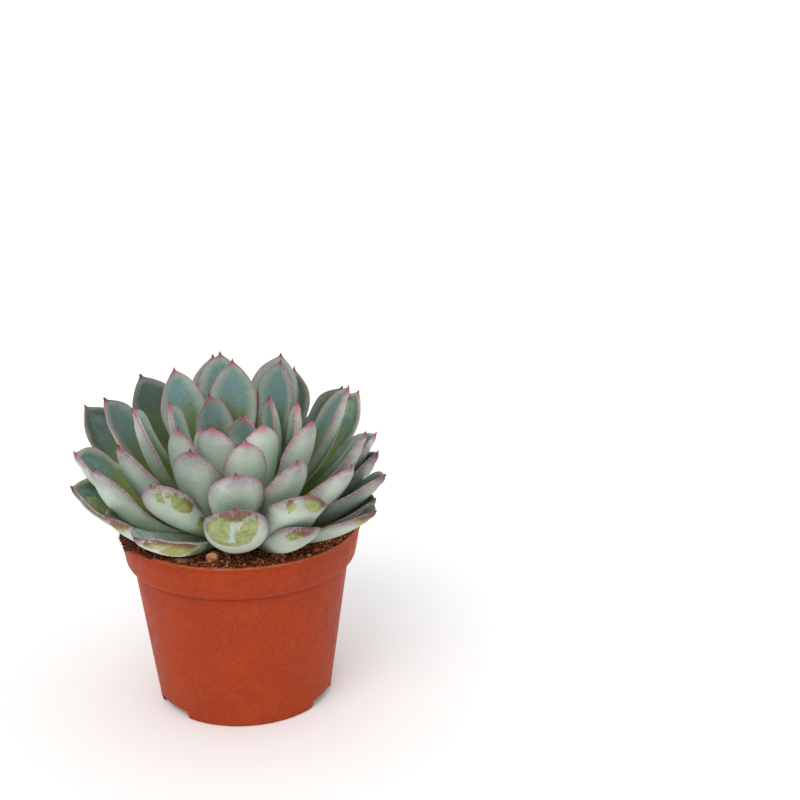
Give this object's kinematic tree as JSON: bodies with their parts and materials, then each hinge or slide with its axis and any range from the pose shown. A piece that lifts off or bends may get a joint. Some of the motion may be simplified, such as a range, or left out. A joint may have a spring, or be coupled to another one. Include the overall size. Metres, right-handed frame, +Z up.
{
  "type": "potted echeveria",
  "caption": "Rosette of thick pointed blue-green leaves with pink edges, growing in soil in a small round terracotta-coloured plastic nursery pot.",
  "frame": {"origin": "middle of the pot's flat underside, on the surface it stands on", "axes": "+Z up, along the pot's axis; -Y is the front, the side the picture shows; the rosette leans towards it; +X is to the right as seen from the front"},
  "size_m": [0.0749, 0.0807, 0.0856],
  "materials": {
    "pot": "matte injection-moulded plastic, terracotta colour, lightly scuffed",
    "soil": "dark brown crumbly peat and grit potting soil",
    "leaf": "waxy leaf skin, powdery blue-green bloom, rubbed off in places, with pink edges",
    "bark": "dry tan bark"
  },
  "bodies": {
    "root": {"pot": "pot", "potting_soil": "soil", "rosette": "leaf", "bark_chip": "bark"}
  },
  "joints": []
}
